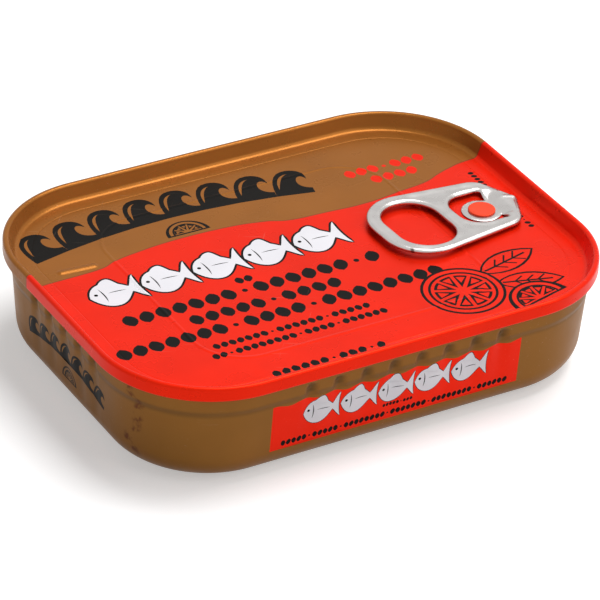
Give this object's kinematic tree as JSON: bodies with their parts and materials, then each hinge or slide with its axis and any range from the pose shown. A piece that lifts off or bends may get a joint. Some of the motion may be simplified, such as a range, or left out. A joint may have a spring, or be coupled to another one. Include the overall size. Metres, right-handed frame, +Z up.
{
  "type": "sardine tin",
  "caption": "Shut oblong fish tin with a seamed easy-open lid and a ring-pull tab riveted flat on it.",
  "frame": {"origin": "middle of the base, on the surface the tin stands on", "axes": "+X along the tin's length towards the tab's nose, +Y across it towards the plain half of the lid, +Z up through the lid"},
  "size_m": [0.105, 0.079, 0.0229],
  "materials": {
    "can_lacquer": "semi-gloss gold-brown lacquer with a printed red field on the side",
    "lid_lacquer": "glossy red and gold-brown printed lacquer",
    "tab_metal": "bright rolled aluminium"
  },
  "bodies": {
    "root": {"body": "can_lacquer", "lid": "lid_lacquer", "tab": "tab_metal"}
  },
  "joints": []
}
